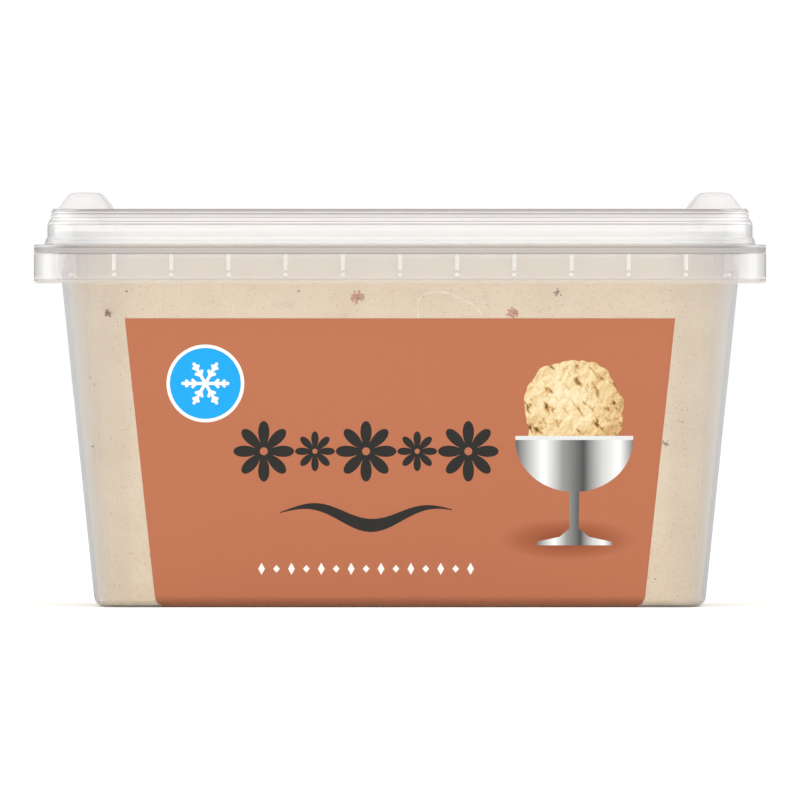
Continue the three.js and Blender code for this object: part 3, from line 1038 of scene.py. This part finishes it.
def ballPoints(centre, radius, seed, rough=0.07, steps=180):
    points = []
    for i in range(steps):
        angle = i / steps * tau
        way = Vector((cos(angle), sin(angle), seed))
        bulge = 1 + rough * noise.noise(way * 2.3) + rough * 0.7 * noise.noise(way * 7)
        points.append(pointAround(centre, radius * bulge, angle))
    return points


def radialGradient(add, centre, reachAcross, reachUp):
    # 0 at the centre and 1 at the reach, measured on the label's face
    place = add("TexCoord").outputs["Object"]
    shift = add("VectorMath", {"operation": "SUBTRACT", 0: place, 1: (centre[0] * mm, 0, centre[1] * mm)})
    scaled = add("VectorMath", {
        "operation": "MULTIPLY", 0: shift, 1: (perMetre(reachAcross), 0, perMetre(reachUp))})
    return add("VectorMath", {"operation": "LENGTH", 0: scaled}).outputs["Value"]


def scoopInk(look):
    # half-tone print of a scoop lit from the upper left. The relief is the difference between one
    # noise and the same noise moved towards the light, and long pits run across the ball.
    material, add = newMaterial("scoop_print_ink")
    place = add("TexCoord").outputs["Object"]
    moved = add("VectorMath", {"operation": "ADD", 0: place, 1: (0.25 * mm, 0, -0.25 * mm)})
    leaning = add("Mapping", {"Rotation": (0, radians(look["pitLean"]), 0), "Vector": place})
    tilted = add("Mapping", {"Scale": (1, 1, look["pitStretch"]), "Vector": leaning})
    lump = {"Scale": perMetre(look["lumpSize"]), "Detail": 4.0, "Roughness": 0.5}
    turned = add("Mapping", {"Rotation": (0.4, 0.6, 0.3), "Vector": place})
    turnedMoved = add("Mapping", {"Rotation": (0.4, 0.6, 0.3), "Vector": moved})
    here = add("TexNoise", {**lump, "Vector": turned})
    beside = add("TexNoise", {**lump, "Vector": turnedMoved})
    relief = add("Math", {"operation": "SUBTRACT", 0: here, 1: beside})
    pits = add("TexNoise", {
        "Scale": perMetre(look["pitSize"]), "Detail": 3.0, "Roughness": 0.55, "Vector": tilted})
    pit = add("MapRange", {"From Min": 0.46, "From Max": 0.30, "To Max": look["pitDepth"], "Value": pits})
    ball = pictureForm["ball"]
    away = radialGradient(add, (ball[0] - 2.6, ball[1] + 3.4), 16, 16)
    roundness = add("MapRange", {
        "From Min": 0.1, "From Max": 1.0, "To Min": 0.80, "To Max": 0.36, "Value": away})
    carved = add("Math", {"operation": "SUBTRACT", 0: roundness, 1: pit})
    light = add("Math", {
        "operation": "MULTIPLY_ADD", "use_clamp": True, 0: relief, 1: look["relief"], 2: carved})
    tone = add("ValToRGB", {
        "Fac": light,
        "stops": {0.0: "#5f3d1c", 0.2: "#a67a44", 0.42: "#d0ab73", 0.62: "#e2c794", 0.85: "#f1dfb8"}})
    shader = add("BsdfPrincipled", {
        "Roughness": 0.45, "IOR": 1.49, "Specular IOR Level": 0.3, "Base Color": tone})
    return finishSurface(material, shader)


scoopLook = {"lumpSize": 3.2, "relief": 2.3, "pitSize": 1.25, "pitLean": 34, "pitStretch": 0.38,
             "pitDepth": 0.6}


def steelInk(name, centreX, halfWidth):
    # printed steel: bands of light and dark grey from side to side
    material, add = newMaterial(name)
    place = add("TexCoord").outputs["Object"]
    parts = add("SeparateXYZ", {"Vector": place})
    share = add("MapRange", {
        "From Min": (centreX - halfWidth) * mm, "From Max": (centreX + halfWidth) * mm, "Value": parts})
    tone = add("ValToRGB", {
        "Fac": share,
        "stops": {0.0: "#4b4b4a", 0.10: "#a9a9a7", 0.24: "#f2f2f0", 0.40: "#8f8f8d", 0.58: "#3c3d3c",
                  0.74: "#c9c9c7", 0.88: "#f0f0ee", 1.0: "#6a6a68"}})
    shader = add("BsdfPrincipled", {"Roughness": 0.35, "IOR": 1.49, "Base Color": tone})
    return finishSurface(material, shader)


def shadowInk(name, centre, reachAcross, reachUp):
    # the picture's soft shadow runs out into the label's own colour
    material, add = newMaterial(name)
    away = radialGradient(add, centre, reachAcross, reachUp)
    tone = add("ValToRGB", {
        "Fac": away, "stops": {0.15: "#8a4524", 0.55: "#9f5735", 0.95: labelLook["ink"]}})
    shader = add("BsdfPrincipled", {
        "Roughness": 0.42, "IOR": 1.49, "Specular IOR Level": 0.3, "Base Color": tone})
    return finishSurface(material, shader)


def makePicture():
    form = pictureForm
    x, z = form["ball"]
    top, half, foot = form["dishTop"], form["dishHalf"], form["foot"]
    shadow = (x - 1.5, foot + 1.0)
    printedShape("print_picture_shadow", [circlePoints(shadow, form["shadowHalf"], 96, 0.30)],
                 shadowInk("shadow_print_ink", shadow, form["shadowHalf"], form["shadowReach"]), 0)
    turns = [pi * i / 60 for i in range(61)]
    bowl = [(x - half * cos(turn), top - form["dishDepth"] * sin(turn)) for turn in turns]
    printedShape("print_dish_bowl", [bowl], steelInk("steel_print_ink", x, half), 2)
    side = [(1.1, top - 10.5), (1.0, foot + 3.5), (3.2, foot + 1.6), (8.2, foot + 0.5), (8.4, foot - 0.3)]
    stem = [(x - out, height) for out, height in side] + [(x + out, height) for out, height in side[::-1]]
    printedShape("print_dish_stem", [stem], steelInk("steel_print_ink_stem", x, form["footHalf"]), 1)
    printedShape("print_scoop_ball", [ballPoints((x, z), form["ballRadius"], 0.7)], scoopInk(scoopLook), 1)
    edge = top + form["lipHeight"]
    lip = [(x - half, top), (x - half, edge), (x + half, edge), (x + half, top)]
    printedShape("print_dish_lip", [lip], flatInk("steel_lip_ink", "#dededc"), 3)


blackInk = flatInk("black_print_ink", "#1d1b17")
whiteInk = flatInk("white_print_ink", "#f6efe9")
blueInk = flatInk("blue_print_ink", "#00a2e6")
makeBadge(blueInk, whiteInk)
makeStarRow(blackInk)
makeFlourish(blackInk)
makeDiamondRow(whiteInk)
makePicture()
print("print done")


# Floor, light and camera
studio = {
    "floorColour": "#ffffff",
    "frameWidth": 176.8,         # millimetres across the picture, where the tub's front part is
    "frameDepth": -43.0,
    "cameraAway": 8000.0,
    "cameraHeight": 88.0,
    "lookAt": 45.6,
    "sideLight": 0.42,
    "overheadLight": 0.85,
    "sunLight": 1.25,
    # name, place in metres, width, height and watts
    "softboxes": [("front_softbox", (0, -1.5, 0.62), 1.6, 1.0, 3),
                  ("left_panel", (-1.4, 0.45, 0.4), 1.1, 0.9, 5.5),
                  ("right_panel", (1.4, 0.45, 0.4), 1.1, 0.9, 5.5)],
}


def makeFloor():
    bm = bmesh.new()
    bmesh.ops.create_grid(bm, x_segments=1, y_segments=1, size=9000)
    for vert in bm.verts:
        vert.co.z = -0.03  # just under the tub
    floor = meshObject("floor", bm, mm)
    material, add = newMaterial("matt_white_board")
    shader = add("BsdfPrincipled", {
        "Base Color": linearColour(studio["floorColour"]), "Roughness": 0.9, "Specular IOR Level": 0.0})
    floor.data.materials.append(finishSurface(material, shader))


def makeWorld():
    # the eye sees white all round, and the tub is lit and mirrored by a room that is bright
    # overhead and grey at the level of the table
    world = bpy.data.worlds.new("studio")
    scene.world = world
    world.use_nodes = True
    world.node_tree.nodes.clear()
    add = partial(addNode, world)
    rays = add("LightPath")
    way = add("TexCoord")
    parts = add("SeparateXYZ", {"Vector": way.outputs["Generated"]})
    level = add("MapRange", {
        "From Max": 0.7, "To Min": studio["sideLight"], "To Max": studio["overheadLight"],
        "Value": parts.outputs["Z"]})
    soft = add("Background", {"Color": (1, 1, 1, 1), "Strength": level})
    seen = add("Background", {"Color": (1, 1, 1, 1), "Strength": 1.0})
    mix = add("MixShader", {"Fac": rays.outputs["Is Camera Ray"], 1: soft, 2: seen})
    add("OutputWorld", {"Surface": mix})


def addSun():
    lamp = bpy.data.lights.new("overhead_sky_panel", "SUN")
    lamp.energy = studio["sunLight"]
    lamp.angle = radians(70)
    addObject("overhead_sky_panel", lamp).rotation_euler = (radians(28), 0, 0)


def addSoftbox(name, place, width, height, power):
    target = (0, 0, 0.05)  # the tub's middle
    lamp = bpy.data.lights.new(name, "AREA")
    lamp.shape = "RECTANGLE"
    lamp.size = width
    lamp.size_y = height
    lamp.energy = power
    box = addObject(name, lamp)
    box.location = place
    box.rotation_euler = (Vector(target) - Vector(place)).to_track_quat("-Z", "Y").to_euler()


def makeCamera():
    lens = bpy.data.cameras.new("camera")
    lens.sensor_width = 36
    lens.clip_end = 60
    distance = studio["cameraAway"] + studio["frameDepth"]
    lens.lens = lens.sensor_width * distance / studio["frameWidth"]
    camera = addObject("camera", lens)
    camera.location = Vector((0, -studio["cameraAway"], studio["cameraHeight"])) * mm
    target = Vector((0, 0, studio["lookAt"])) * mm
    camera.rotation_euler = (target - camera.location).to_track_quat("-Z", "Y").to_euler()
    scene.camera = camera


makeFloor()
makeWorld()
addSun()
for softbox in studio["softboxes"]:
    addSoftbox(*softbox)
makeCamera()
scene.view_settings.view_transform = "Standard"
scene.cycles.transparent_max_bounces = 40  # the eye passes many clear walls
print("studio set")
